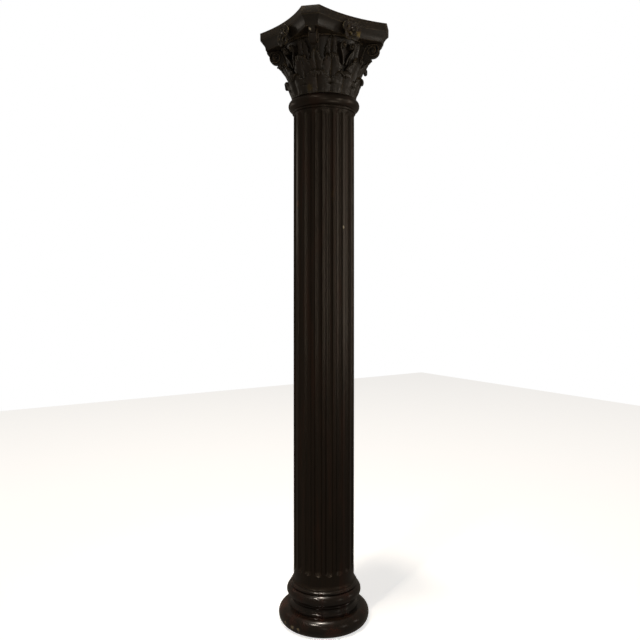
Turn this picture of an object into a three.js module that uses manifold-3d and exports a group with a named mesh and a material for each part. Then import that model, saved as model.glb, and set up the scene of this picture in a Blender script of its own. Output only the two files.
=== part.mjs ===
// Fluted wooden column with a turned base and a carved leaf capital.
// Millimetres, +Z up, the floor at z = 0 and the column's axis on Z.
import * as THREE from "three";
import { mergeVertices } from "three/addons/utils/BufferGeometryUtils.js";
import Module from "manifold-3d";

const wasm = await Module();
wasm.setup();

// Heights above the floor: the base is stacked up from it, the capital is set down from the top
const columnHeight = 2440;
const abacusHeight = 68;
const bellHeight = 214;
const astragalHeight = 53;
const bellTop = columnHeight - abacusHeight;
const astragalTop = bellTop - bellHeight;
const shaftTop = astragalTop - astragalHeight;
const footTop = 70;
const collarTop = 176;
const jointGap = 0.3;

// Turned base
const footRadius = 190;
const footUnderRoll = 27;
const collarNeckRadius = 142;
const collarFilletTop = 85;
const scotiaTop = 108;
const scotiaDepth = 5;
const collarRollRadius = 155.5;
const collarRollTop = 158;
const collarBeadRadius = 140;

// Shaft
const shaftRadius = 127;
const shaftTopRadius = 124;
const shaftFootRadius = 134;
const flareTop = 190;
const fluteBottom = 228;
const fluteTop = shaftTop - 7;
const fluteCount = 18;
const fluteWidth = 31;
const fluteDepth = 10;
const fluteTurnDeg = -4;

// Half-round ring under the capital
const astragalRadius = 145;
const astragalFilletRadius = 129;
const astragalFilletHeight = 7;

// Capital
const rimRadius = 129;
const rimHeight = 9;
const bellNeckRadius = 123;
const bellLipRadius = 162;
const bellLipHeight = 9;
const bellSamples = 48;
const leafCount = 8;
const leafCrease = 4;
const scrollRoot = 133;
const voluteEyeRadius = 200;
const voluteRadius = 33;
const voluteEyeHeight = bellTop - 0.8 * voluteRadius;
const voluteTipRadius = 241;
const voluteBand = 8;
const voluteWeb = 22;
const voluteThickness = 34;
const helixRadius = 16;
const helixEyeHeight = bellTop - 2.5 * helixRadius;
const helixBand = 6;
const helixSpread = 20;
const helixTail = 64;
const helixFace = 172;
const helixLean = 0.4;
const scrollSteps = 10;

// Abacus
const abacusCorner = 260;
const abacusCornerHalfWidth = 34;
const abacusSide = 186;
const abacusFillet = 28;
const abacusUndercut = 20;

// Carved flowers on the abacus
const fleuronRadius = 42;
const fleuronHeight = columnHeight - 1.3 * fleuronRadius;
const fleuronFace = 206;
const fleuronLobes = 5;
const fleuronGap = 1;

const turnedSegments = 36;

// Wood finishes
function wood(colour, roughness) {
  return new THREE.MeshStandardMaterial({ color: colour, roughness: roughness, metalness: 0 });
}

const polishedWood = wood(0x1f1712, 0.28);
const shaftWood = wood(0x1c1511, 0.32);
const carvedWood = wood(0x231b14, 0.45);
const flowerWood = wood(0x3a2b1a, 0.5);

function radians(degrees) {
  return (degrees * Math.PI) / 180;
}

// Points of an arc in a profile, radius outward and height up
function arcPoints(centreX, centreY, radius, startDeg, endDeg, steps) {
  const points = [];
  for (let i = 0; i <= steps; i++) {
    const angle = radians(startDeg + ((endDeg - startDeg) * i) / steps);
    points.push(new THREE.Vector2(centreX + radius * Math.cos(angle), centreY + radius * Math.sin(angle)));
  }
  return points;
}

function point(x, y) {
  return new THREE.Vector2(x, y);
}

// A profile turned about the column's axis
function turned(profile) {
  const geometry = new THREE.LatheGeometry(profile, turnedSegments);
  geometry.rotateX(Math.PI / 2);
  return geometry;
}

// Closed mesh from rings of points that all have the same count, closed at both ends
function skinned(rings) {
  const count = rings[0].length;
  const positions = [];
  const faces = [];
  for (const ring of rings) {
    for (const corner of ring) {
      positions.push(corner.x, corner.y, corner.z);
    }
  }
  for (let j = 0; j + 1 < rings.length; j++) {
    for (let i = 0; i < count; i++) {
      const a = j * count + i;
      const b = j * count + ((i + 1) % count);
      faces.push(a, b, b + count);
      faces.push(a, b + count, a + count);
    }
  }
  const last = (rings.length - 1) * count;
  for (const [start, isTop] of [[0, false], [last, true]]) {
    const centre = new THREE.Vector3();
    for (const corner of rings[start / count]) {
      centre.addScaledVector(corner, 1 / count);
    }
    const middle = positions.length / 3;
    positions.push(centre.x, centre.y, centre.z);
    for (let i = 0; i < count; i++) {
      const a = start + i;
      const b = start + ((i + 1) % count);
      faces.push(...(isTop ? [a, b, middle] : [b, a, middle]));
    }
  }
  const geometry = new THREE.BufferGeometry();
  geometry.setAttribute("position", new THREE.Float32BufferAttribute(positions, 3));
  geometry.setIndex(faces);
  return geometry;
}

// Same mesh with each corner kept once
function merged(geometry) {
  const plain = geometry.clone();
  plain.deleteAttribute("normal");
  plain.deleteAttribute("uv");
  return mergeVertices(plain, 1e-3);
}

function toSolid(geometry) {
  const whole = merged(geometry);
  const mesh = new wasm.Mesh({
    numProp: 3,
    vertProperties: new Float32Array(whole.attributes.position.array),
    triVerts: new Uint32Array(whole.index.array),
  });
  return new wasm.Manifold(mesh);
}

function toGeometry(solid) {
  const mesh = solid.getMesh();
  const geometry = new THREE.BufferGeometry();
  geometry.setAttribute("position", new THREE.BufferAttribute(mesh.vertProperties, 3));
  geometry.setIndex(new THREE.BufferAttribute(mesh.triVerts, 1));
  return geometry;
}

// Wide lower ring of the base, a half-round that is a little fuller below
function footGeometry() {
  const top = footTop - jointGap;
  const roll = top / 2;
  const under = arcPoints(0, 0, roll, -90, 0, 4).map((corner) => {
    return point(footRadius - footUnderRoll + (corner.x * footUnderRoll) / roll, roll + corner.y);
  });
  const profile = [point(0, 0), ...under];
  profile.push(...arcPoints(footRadius - roll, roll, roll, 0, 90, 4).slice(1));
  profile.push(point(0, top));
  return turned(profile);
}

// Upper part of the base: fillet, scotia, smaller roll and bead
function collarGeometry() {
  const top = collarTop - jointGap;
  const scotiaMiddle = (collarFilletTop + scotiaTop) / 2;
  const roll = (collarRollTop - scotiaTop) / 2;
  const beadSide = (top - collarRollTop) / 2;
  const profile = [point(0, footTop)];
  profile.push(point(collarNeckRadius, footTop));
  profile.push(point(collarNeckRadius, collarFilletTop));
  profile.push(point(collarNeckRadius - scotiaDepth, scotiaMiddle));
  profile.push(point(collarNeckRadius - scotiaDepth, scotiaTop));
  profile.push(...arcPoints(collarRollRadius - roll, scotiaTop + roll, roll, -60, 60, 4));
  profile.push(...arcPoints(collarBeadRadius - beadSide, collarRollTop + beadSide, beadSide, -80, 90, 3));
  profile.push(point(0, top));
  return turned(profile);
}

function shaftRadiusAt(height) {
  if (height < flareTop) {
    const rise = (flareTop - height) / (flareTop - collarTop);
    return shaftRadius + (shaftFootRadius - shaftRadius) * rise * rise;
  }
  const share = (height - flareTop) / (shaftTop - flareTop);
  return shaftRadius + (shaftTopRadius - shaftRadius) * share * share;
}

// How open a flute is at a height: 1 along its run, 0 at its rounded ends
function fluteOpening(height) {
  const reach = fluteWidth / 2;
  const inset = Math.min(height - fluteBottom, fluteTop - height, reach);
  const share = 1 - Math.max(inset, 0) / reach;
  return Math.sqrt(1 - share * share);
}

// Round shaft with scooped flutes that stop short of both ends
function shaftGeometry() {
  const reach = fluteWidth / 2;
  const ends = [0, 0.15, 0.5, 1];
  const heights = [collarTop, (collarTop + flareTop) / 2, flareTop];
  heights.push(...ends.map((share) => fluteBottom + share * reach));
  heights.push(...ends.toReversed().map((share) => fluteTop - share * reach));
  heights.push(shaftTop - jointGap);
  const rings = heights.map((height) => {
    const radius = shaftRadiusAt(height);
    const opening = fluteOpening(height);
    const halfAngle = Math.asin(fluteWidth / 2 / radius) * Math.max(opening, 0.25);
    const ring = [];
    for (let k = 0; k < fluteCount; k++) {
      const middle = (2 * Math.PI * k) / fluteCount - Math.PI / 2 + radians(fluteTurnDeg);
      for (const across of [-1, -0.6, 0, 0.6, 1]) {
        const depth = fluteDepth * opening * (1 - across * across);
        const angle = middle + across * halfAngle;
        const reachOut = radius - depth;
        ring.push(new THREE.Vector3(reachOut * Math.cos(angle), reachOut * Math.sin(angle), height));
      }
    }
    return ring;
  });
  return skinned(rings);
}

// Half-round ring that caps the flutes
function astragalGeometry() {
  const top = astragalTop - jointGap;
  const filletTop = shaftTop + astragalFilletHeight;
  const roll = (top - filletTop) / 2;
  const profile = [point(0, shaftTop)];
  profile.push(point(astragalFilletRadius, shaftTop));
  profile.push(point(astragalFilletRadius, filletTop));
  profile.push(...arcPoints(astragalRadius - roll, filletTop + roll, roll, -70, 90, 6));
  profile.push(point(0, top));
  return turned(profile);
}

// Radius of the plain bell at a height
function bellRadiusAt(height) {
  const share = Math.min(Math.max((height - astragalTop - rimHeight) / (bellTop - astragalTop - rimHeight), 0), 1);
  return bellNeckRadius + (bellLipRadius - bellNeckRadius) * (0.35 * share + 0.65 * share * share * share);
}

// Stations of a leaf along its spine: up its face, in under the tip, round the hanging tip and back to the bell.
// Each has the spine's point, the height on the bell that it fades to beside the leaf, and half its width.
function leafStations(leaf) {
  const curlHeight = astragalTop + leaf.curlRise;
  const foot = point(leaf.footRadius, astragalTop + leaf.footRise);
  const neck = point(leaf.curlRadius - 0.5 * leaf.curl, curlHeight - 0.6 * leaf.curl);
  const stations = [0, 0.5, 1].map((share) => {
    const spine = foot.clone().lerp(neck, share);
    return { height: spine.y, spine: spine, half: leaf.half * (0.9 + 0.1 * share) };
  });
  const tip = arcPoints(leaf.curlRadius, curlHeight, leaf.curl, -60, 120, 4);
  tip.forEach((spine, i) => {
    const height = neck.y + ((curlHeight + leaf.curl - neck.y) * (i + 1)) / tip.length;
    stations.push({ height: height, spine: spine, half: leaf.half * (0.9 - 0.08 * i) });
  });
  return stations;
}

// Point of the bell's surface at an angle from a leaf's middle: the leaf's spine fades to the bell
// beside it, and a crease runs down the middle
function leafPoint(bell, station, turn) {
  const across = Math.abs(turn) / station.half;
  const place = bell.clone().lerp(station.spine, Math.max(1 - across ** 4, 0));
  if (across < 0.1) {
    place.x -= leafCrease;
  }
  return place;
}

// Angle to the nearest leaf of a row whose first leaf is at an offset
function toLeaf(angle, offset) {
  const step = 360 / leafCount;
  const turn = (angle - offset) / step;
  return (turn - Math.round(turn)) * step;
}

// The bell with both rows of leaves as one surface of rings
function leafyBellGeometry() {
  const rings = [];
  const angles = [];
  for (let i = 0; i < bellSamples; i++) {
    angles.push((360 * i) / bellSamples);
  }
  const addRing = (pointAt) => {
    rings.push(
      angles.map((angle) => {
        const place = pointAt(angle);
        return new THREE.Vector3(place.x * Math.cos(radians(angle)), place.x * Math.sin(radians(angle)), place.y);
      }),
    );
  };
  for (const rim of arcPoints(rimRadius - rimHeight / 2, astragalTop + rimHeight / 2, rimHeight / 2, -90, 90, 2)) {
    addRing(() => rim);
  }
  for (const station of leafStations(lowerLeaf)) {
    addRing((angle) => {
      return leafPoint(point(bellRadiusAt(station.height), station.height), station, toLeaf(angle, 0));
    });
  }
  for (const station of leafStations(upperLeaf)) {
    addRing((angle) => {
      const bell = point(bellRadiusAt(station.height), station.height);
      return leafPoint(bell, station, toLeaf(angle, 180 / leafCount));
    });
  }
  const top = bellTop - jointGap;
  const leafTop = astragalTop + upperLeaf.curlRise + upperLeaf.curl;
  for (const share of [0.2, 0.6, 1]) {
    const height = leafTop + (top - bellLipHeight - leafTop) * share;
    addRing(() => point(bellRadiusAt(height), height));
  }
  addRing(() => point(bellRadiusAt(top), top));
  return skinned(rings);
}

// Leaves of the two rows: radii from the axis, rises above the astragal, and half of a leaf's width in degrees
const lowerLeaf = {
  footRadius: 133,
  footRise: 10,
  curlRadius: 153,
  curlRise: 69,
  curl: 13,
  half: 21,
};

const upperLeaf = {
  footRadius: 147,
  footRise: 94,
  curlRadius: 170,
  curlRise: 127,
  curl: 13,
  half: 20,
};

// Leaf that sheathes a corner scroll: from foot to tip, shares of its height, of its reach and of its half width
const sheathFoot = astragalTop + lowerLeaf.curlRise + 0.6 * lowerLeaf.curl;
const sheathTop = voluteEyeHeight - voluteRadius + voluteBand;
const sheathFootReach = 148;
const sheathTipReach = 200;
const sheathHalfWidth = 28;
const sheathCrown = 4;
const sheathShape = [
  [0, 0, 0.6],
  [0.25, 0.25, 0.9],
  [0.5, 0.52, 1],
  [0.72, 0.79, 0.93],
  [0.88, 0.96, 0.75],
  [1, 1, 0.43],
];

// Edges of a spiral band that shrinks to its eye: its outer points, then its inner ones
function spiralEdges(radius, startDeg, turns, band) {
  const steps = Math.round(turns * scrollSteps);
  const outer = [];
  const inner = [];
  for (let i = 0; i <= steps; i++) {
    const share = i / steps;
    const angle = radians(startDeg - (360 * i) / scrollSteps);
    const reach = radius * (1 - 0.72 * share);
    const width = band * (1 - 0.4 * share);
    outer.push(point(reach * Math.cos(angle), reach * Math.sin(angle)));
    inner.push(point((reach - width) * Math.cos(angle), (reach - width) * Math.sin(angle)));
  }
  return [outer, inner];
}

// Plate of a flat outline, from one level to another
function plate(outline, bottom, top) {
  const geometry = new THREE.ExtrudeGeometry(new THREE.Shape(outline), {
    depth: top - bottom,
    bevelEnabled: false,
  });
  geometry.translate(0, 0, bottom);
  return merged(geometry);
}

function joined(geometries) {
  return geometries.map(toSolid).reduce((whole, piece) => whole.add(piece));
}

// Scroll under a corner of the abacus, standing on the diagonal
function voluteSolid(turn) {
  const top = bellTop - jointGap - voluteEyeHeight;
  const root = scrollRoot - voluteEyeRadius;
  const [outer, inner] = spiralEdges(voluteRadius, 36, 1.3, voluteBand);
  const web = outer.slice(0, 6);
  web.push(point(root, -voluteRadius * 0.9));
  web.push(point(root, top));
  web.push(point(voluteTipRadius - voluteEyeRadius, top));
  const pieces = [
    plate(web, -voluteWeb / 2, voluteWeb / 2),
    plate([...outer, ...inner.toReversed()], -voluteThickness / 2, voluteThickness / 2),
  ];
  for (const geometry of pieces) {
    geometry.translate(voluteEyeRadius, voluteEyeHeight, 0);
    geometry.rotateX(Math.PI / 2);
    geometry.rotateZ(turn);
  }
  return joined(pieces);
}

// Leaf under a corner scroll, two swollen halves with a crease between them
function sheathSolid(turn) {
  const root = bellNeckRadius - sheathCrown;
  const rings = sheathShape.map(([rise, lean, spread]) => {
    const height = sheathFoot + (sheathTop - sheathFoot) * rise;
    const reach = sheathFootReach + (sheathTipReach - sheathFootReach) * lean;
    const half = sheathHalfWidth * spread;
    const edge = reach - 2 * sheathCrown;
    const outline = [
      [root, -0.6 * half],
      [edge, -half],
      [reach, -0.55 * half],
      [reach - sheathCrown, 0],
      [reach, 0.55 * half],
      [edge, half],
      [root, 0.6 * half],
    ];
    return outline.map(([out, across]) => new THREE.Vector3(out, across, height));
  });
  const geometry = skinned(rings);
  geometry.rotateZ(turn);
  return toSolid(geometry);
}

// Axes of a face of the capital: along the face, up, and outward
function faceAxes(face) {
  const outward = new THREE.Vector3(0, -1, 0).applyAxisAngle(new THREE.Vector3(0, 0, 1), (face * Math.PI) / 2);
  const up = new THREE.Vector3(0, 0, 1);
  const along = new THREE.Vector3().crossVectors(up, outward);
  return new THREE.Matrix4().makeBasis(along, up, outward);
}

// One of the two small scrolls that rise on a face and curl towards each other under the flower
function helixSolid(face, side) {
  const outline = [point(helixSpread - 0.5 * helixBand, -helixTail), point(helixSpread - 2 * helixBand, -helixTail)];
  outline.push(...arcPoints(0, 0, helixRadius, 180, -120, 9));
  const eye = arcPoints(0, 0, helixBand, 0, 300, 5);
  const place = (corner) => point(side * (helixSpread - corner.x), corner.y);
  const pieces = [
    plate(outline.map(place), scrollRoot, helixFace),
    plate(eye.map(place), scrollRoot, helixFace + helixBand),
  ];
  const lean = new THREE.Matrix4().makeShear(0, 0, 0, helixLean, 0, 0);
  const rise = new THREE.Matrix4().makeTranslation(0, 0, helixEyeHeight);
  for (const geometry of pieces) {
    geometry.applyMatrix4(lean);
    geometry.applyMatrix4(faceAxes(face));
    geometry.applyMatrix4(rise);
  }
  return joined(pieces);
}

// Carved bell with the corner scrolls and the small scrolls under the flowers
function capitalGeometry() {
  let solid = toSolid(leafyBellGeometry());
  for (let face = 0; face < 4; face++) {
    const corner = Math.PI / 4 + (face * Math.PI) / 2;
    solid = solid.add(voluteSolid(corner));
    solid = solid.add(sheathSolid(corner));
    solid = solid.add(helixSolid(face, -1));
    solid = solid.add(helixSolid(face, 1));
  }
  return toGeometry(solid);
}

// Half the chord of an abacus side and the distance of its chord from the axis, drawn in by an inset
function abacusChord(inset) {
  const reach = abacusCorner - inset;
  const half = abacusCornerHalfWidth - inset * 0.5;
  return [(reach - half) * Math.SQRT1_2, (reach + half) * Math.SQRT1_2];
}

// Radius of the hollow side
function abacusBend(inset) {
  const [halfChord, distance] = abacusChord(inset);
  const sagitta = distance - (abacusSide - inset * 0.8);
  return (halfChord * halfChord + sagitta * sagitta) / (2 * sagitta);
}

// Outline with four hollow sides between cut-off corners
function abacusOutline(inset) {
  const bend = abacusBend(inset);
  const spread = Math.asin(abacusChord(inset)[0] / bend);
  const outline = [];
  for (let side = 0; side < 4; side++) {
    for (let i = 0; i <= 8; i++) {
      const swing = spread * (i / 4 - 1);
      const x = bend * Math.sin(swing);
      const y = inset * 0.8 - abacusSide - bend * (1 - Math.cos(swing));
      outline.push(point(x, y).rotateAround(point(0, 0), (side * Math.PI) / 2));
    }
  }
  return outline;
}

// Moulded board on top: a hollow below and a flat fillet above
function abacusGeometry() {
  const filletBottom = columnHeight - abacusFillet;
  const levels = [0, 0.35, 0.7, 1].map((share) => {
    return [bellTop + (filletBottom - bellTop) * share, abacusUndercut * (1 - share ** 2)];
  });
  levels.push([columnHeight, 0]);
  const rings = levels.map(([height, inset]) => {
    return abacusOutline(inset).map((corner) => new THREE.Vector3(corner.x, corner.y, height));
  });
  return skinned(rings);
}

// Flower with lobed petals round a button, standing proud of the hollow abacus side
function fleuronGeometry(face) {
  const samples = fleuronLobes * 4;
  const proud = fleuronFace - abacusSide;
  const steps = [[0.9, 0], [1, 0.4], [0.8, 0.75], [0.45, 0.55], [0.28, 0.9], [0.12, 1]];
  const rings = steps.map(([share, out]) => {
    const ring = [];
    for (let i = 0; i < samples; i++) {
      const angle = (2 * Math.PI * i) / samples;
      const lobe = share > 0.4 ? 1 - 0.1 * (1 + Math.cos(fleuronLobes * angle)) : 1;
      const reach = fleuronRadius * share * lobe;
      const x = reach * Math.cos(angle);
      const hollow = (x * x) / (2 * abacusBend(0));
      const z = abacusSide + fleuronGap + out * (proud - fleuronGap) + hollow * (1 - out);
      ring.push(new THREE.Vector3(x, reach * Math.sin(angle), z));
    }
    return ring;
  });
  const geometry = skinned(rings);
  geometry.applyMatrix4(faceAxes(face));
  geometry.translate(0, 0, fleuronHeight);
  return geometry;
}

const column = new THREE.Group();
column.name = "fluted_column";

function addPiece(name, geometry, material) {
  const mesh = new THREE.Mesh(geometry, material);
  mesh.name = name;
  column.add(mesh);
  return mesh;
}

addPiece("base_foot_torus", footGeometry(), polishedWood);
addPiece("base_collar", collarGeometry(), polishedWood);
addPiece("shaft", shaftGeometry(), shaftWood);
addPiece("astragal", astragalGeometry(), polishedWood);
addPiece("capital", capitalGeometry(), carvedWood);
addPiece("abacus", abacusGeometry(), carvedWood);
["front", "right", "back", "left"].forEach((side, face) => {
  addPiece(`fleuron_${side}`, fleuronGeometry(face), flowerWood);
});

export default column;
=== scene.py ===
# %% [markdown]
# # A fluted wooden column with a carved leaf capital
# The real object is a tall mahogany column, stained almost black and polished.
# It is built from separate blocks: two turned rings make the base, a staved shaft is fluted,
# a turned ring caps the flutes, and a carved bell, a moulded board and four flowers make the capital.
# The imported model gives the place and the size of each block, in metres, with the floor at zero.
# Each block is made again here with finer carving, and stands for the plain one.

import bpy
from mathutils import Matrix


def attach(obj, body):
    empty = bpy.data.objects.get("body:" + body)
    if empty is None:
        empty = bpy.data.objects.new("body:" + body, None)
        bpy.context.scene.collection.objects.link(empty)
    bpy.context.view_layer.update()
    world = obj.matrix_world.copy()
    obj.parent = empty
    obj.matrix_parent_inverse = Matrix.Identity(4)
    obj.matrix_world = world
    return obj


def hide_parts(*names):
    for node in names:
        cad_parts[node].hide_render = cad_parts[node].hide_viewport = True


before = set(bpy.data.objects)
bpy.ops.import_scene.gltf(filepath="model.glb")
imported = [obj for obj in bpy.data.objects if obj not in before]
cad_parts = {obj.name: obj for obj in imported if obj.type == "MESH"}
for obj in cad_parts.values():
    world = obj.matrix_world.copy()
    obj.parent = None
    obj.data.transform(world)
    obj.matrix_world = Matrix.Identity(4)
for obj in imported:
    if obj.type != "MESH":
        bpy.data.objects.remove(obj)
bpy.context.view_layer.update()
print("packed nodes:", ", ".join(sorted(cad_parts)))

# %% Tools for meshes
import math

import bpy
import numpy as np
from mathutils import Vector

MM = 0.001

# %% [markdown]
# ## From rings of points to a closed skin
# A turned ring, a fluted shaft, a moulded board and a flower all are a stack of closed rings.
# One helper joins the rings with quads and closes both ends, so no piece is left open.
# Points are written in millimetres and become metres at the last moment.

# %% Rings to mesh
def grid_faces(rows, columns, closed):
    across = columns if closed else columns - 1
    row, column = np.meshgrid(np.arange(rows - 1), np.arange(across), indexing="ij")
    a = (row * columns + column).ravel()
    b = (row * columns + (column + 1) % columns).ravel()
    return np.stack([a, b, b + columns, a + columns], axis=1).tolist()


def smooth_between_arrises(mesh, crisp=38):
    # An edge that folds by more degrees than this stays an arris
    mesh.shade_smooth()
    mesh.set_sharp_from_angle(angle=math.radians(crisp))


def new_piece(name, points, faces):
    mesh = bpy.data.meshes.new(name)
    mesh.from_pydata((np.asarray(points) * MM).tolist(), [], faces)
    mesh.validate()
    smooth_between_arrises(mesh)
    piece = bpy.data.objects.new(name, mesh)
    bpy.context.scene.collection.objects.link(piece)
    return piece


def ringed_piece(name, rings):
    rings = np.asarray(rings, dtype=float)
    rows, columns, _ = rings.shape
    faces = grid_faces(rows, columns, closed=True)
    points = rings.reshape(-1, 3)
    points = np.vstack([points, rings[0].mean(axis=0), rings[-1].mean(axis=0)])
    low, high, last = len(points) - 2, len(points) - 1, (rows - 1) * columns
    for i in range(columns):
        after = (i + 1) % columns
        faces.append([after, i, low])
        faces.append([last + i, last + after, high])
    return new_piece(name, points, faces)


def arc(centre, radius, start, end, steps):
    turn = np.radians(np.linspace(start, end, steps + 1))
    return np.stack([centre[0] + radius * np.cos(turn), centre[1] + radius * np.sin(turn)], axis=1)


def lathe_rings(profile, segments=240):
    # The profile is a list of (radius, height), from the bottom up
    turn = np.linspace(0, 2 * np.pi, segments, endpoint=False)
    profile = np.asarray(profile)
    rings = np.empty((len(profile), segments, 3))
    rings[:, :, 0] = profile[:, :1] * np.cos(turn)
    rings[:, :, 1] = profile[:, :1] * np.sin(turn)
    rings[:, :, 2] = profile[:, 1:]
    return rings


print("a ring of 240 points on the foot has an edge every", round(2 * math.pi * 190 / 240, 1), "mm")

# %% [markdown]
# ## Camera
# The photograph was taken by someone standing in front of the column and a little to one side,
# so the near corner of the capital points just left of the lens and the base is seen from above.
# The lens and the place below come from lines of known height on the column.

# %% Place the camera
side_turn = math.radians(-33.5)
towards_camera = Vector((math.sin(side_turn), -math.cos(side_turn), 0))
camera_right = Vector((math.cos(side_turn), math.sin(side_turn), 0))
tilt = math.radians(2.635)
metres_away, metres_aside, metres_up = 2.741, 0.016, 1.390
sensor_mm, focal_pixels, picture_pixels = 36, 660.2, 640

camera_data = bpy.data.cameras.new("photo_camera")
camera_data.sensor_width = sensor_mm
camera_data.lens = sensor_mm * focal_pixels / picture_pixels
camera = bpy.data.objects.new("photo_camera", camera_data)
camera.location = towards_camera * metres_away - camera_right * metres_aside + Vector((0, 0, metres_up))
gaze = -towards_camera * math.cos(tilt) + Vector((0, 0, -math.sin(tilt)))
camera.rotation_euler = gaze.to_track_quat("-Z", "Y").to_euler()
bpy.context.scene.collection.objects.link(camera)
bpy.context.scene.camera = camera
print("camera", [round(v, 3) for v in camera.location], "lens", round(camera_data.lens, 2), "mm")

# %% [markdown]
# ## Dark stained mahogany
# The wood is mahogany under a nearly black stain and a rubbed shellac polish.
# The stain hides the figure until the light grazes it: then a red brown shows between the streaks.
# On edges that hands and cloths have touched for years the stain is thin or gone.
# One recipe gives every block its finish, with its own gloss, wear and dust.

# %% Colours and nodes
def linear(hex_colour):
    channels = [int(hex_colour[i:i + 2], 16) / 255 for i in (1, 3, 5)]
    return [c / 12.92 if c <= 0.04045 else ((c + 0.055) / 1.055) ** 2.4 for c in channels] + [1]


def add(tree, kind, settings=None, **inputs):
    node = tree.nodes.new(kind)
    for key, value in (settings or {}).items():
        setattr(node, key, value)
    for key, value in inputs.items():
        socket = node.inputs[int(key[1:]) if key[1:].isdigit() else key.replace("_", " ")]
        if isinstance(value, bpy.types.NodeSocket):
            tree.links.new(value, socket)
        else:
            socket.default_value = value
    return node


# %% The wood recipe
# Pores of mahogany are about 0.3 mm wide and too fine to show, so the streaks are 4 mm wide and 110 mm long.
# The stain took unevenly in patches of 40 by 300 mm, and specks of 7 mm make every worn edge ragged.
streaks_per_metre = (260, 260, 9)
patches_per_metre = (26, 26, 3.4)
specks_per_metre = 150
pore_depth = 0.0006
dust_colour, coat_blur = "#4a4234", 0.13


def stained_wood(name, stain, brown, red, worn, gloss, coat, wear, dust, sheen="#ffffff", bare_spots=()):
    material = bpy.data.materials.new(name)
    material.use_nodes = True
    tree = material.node_tree
    tree.nodes.clear()
    place = add(tree, "ShaderNodeTexCoord").outputs["Object"]
    of_colours = {"data_type": "RGBA"}

    # Noise stretched along the grain gives the streaks, a broader one the patches
    along = add(tree, "ShaderNodeMapping", Vector=place, Scale=streaks_per_metre).outputs[0]
    streaks = add(tree, "ShaderNodeTexNoise", Vector=along, Scale=1, Detail=5, Roughness=0.62).outputs[0]
    broad = add(tree, "ShaderNodeMapping", Vector=place, Scale=patches_per_metre).outputs[0]
    patches = add(tree, "ShaderNodeTexNoise", Vector=broad, Scale=1, Detail=3).outputs[0]
    specks = add(
        tree, "ShaderNodeTexNoise", Vector=place, Scale=specks_per_metre, Detail=4, Roughness=0.7,
    ).outputs[0]

    # The stain lets brown through in streaks and red in patches
    figure = add(tree, "ShaderNodeMapRange", _0=streaks, _1=0.38, _2=0.68).outputs[0]
    colour = add(tree, "ShaderNodeMix", of_colours, _0=figure, _6=linear(stain), _7=linear(brown)).outputs[2]
    warm = add(tree, "ShaderNodeMapRange", _0=patches, _1=0.5, _2=0.78, _4=0.75).outputs[0]
    colour = add(tree, "ShaderNodeMix", of_colours, _0=warm, _6=colour, _7=linear(red)).outputs[2]

    # Hollows hold dust that no cloth reaches
    hollow = add(tree, "ShaderNodeAttribute", {"attribute_name": "hollow"}).outputs["Fac"]
    dusty = add(tree, "ShaderNodeMath", {"operation": "MULTIPLY"}, _0=hollow, _1=dust).outputs[0]
    colour = add(tree, "ShaderNodeMix", of_colours, _0=dusty, _6=colour, _7=linear(dust_colour)).outputs[2]

    # Arrises are rubbed through to paler wood
    arris = add(tree, "ShaderNodeAttribute", {"attribute_name": "arris"}).outputs["Fac"]
    uneven = add(tree, "ShaderNodeMath", {"operation": "MULTIPLY_ADD"}, _0=specks, _1=1.4, _2=-0.7).outputs[0]
    rubbed = add(
        tree, "ShaderNodeMath", {"operation": "MULTIPLY_ADD"}, _0=arris, _1=wear, _2=uneven,
    ).outputs[0]
    rubbed = add(tree, "ShaderNodeMapRange", _0=rubbed, _1=0.35, _2=0.95).outputs[0]
    colour = add(tree, "ShaderNodeMix", of_colours, _0=rubbed, _6=colour, _7=linear(worn)).outputs[2]

    # Chips and bare spots have a ragged outline about their middle
    for spot, radius, squash, bare, strength in bare_spots:
        middle, size = [v * MM for v in spot], radius * MM
        away = add(tree, "ShaderNodeVectorMath", {"operation": "SUBTRACT"}, _0=place, _1=middle).outputs[0]
        away = add(
            tree, "ShaderNodeVectorMath", {"operation": "MULTIPLY"}, _0=away, _1=(1, 1, squash),
        ).outputs[0]
        away = add(tree, "ShaderNodeVectorMath", {"operation": "LENGTH"}, _0=away).outputs["Value"]
        ragged = add(
            tree, "ShaderNodeMath", {"operation": "MULTIPLY_ADD"}, _0=uneven, _1=size * -1.6, _2=away,
        ).outputs[0]
        inside = add(tree, "ShaderNodeMapRange", _0=ragged, _1=size, _2=size * 0.55, _4=strength).outputs[0]
        colour = add(tree, "ShaderNodeMix", of_colours, _0=inside, _6=colour, _7=linear(bare)).outputs[2]

    # Patches and rubbed places shine less, and open pores break the gleam a little
    dull = add(tree, "ShaderNodeMapRange", _0=patches, _1=0.3, _2=0.75, _3=gloss, _4=gloss + 0.1).outputs[0]
    dull = add(tree, "ShaderNodeMath", {"operation": "MULTIPLY_ADD"}, _0=rubbed, _1=0.2, _2=dull).outputs[0]
    grainy = add(
        tree, "ShaderNodeMath", {"operation": "MULTIPLY_ADD"}, _0=specks, _1=0.5, _2=streaks,
    ).outputs[0]
    bump = add(tree, "ShaderNodeBump", Height=grainy, Strength=0.12, Distance=pore_depth).outputs[0]
    shader = add(tree, "ShaderNodeBsdfPrincipled", Base_Color=colour, Roughness=dull, Normal=bump, IOR=1.5)
    shader.inputs["Specular Tint"].default_value = linear(sheen)
    shader.inputs["Coat Weight"].default_value = coat
    shader.inputs["Coat Roughness"].default_value = coat_blur
    add(tree, "ShaderNodeOutputMaterial", Surface=shader.outputs[0])
    return material


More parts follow.
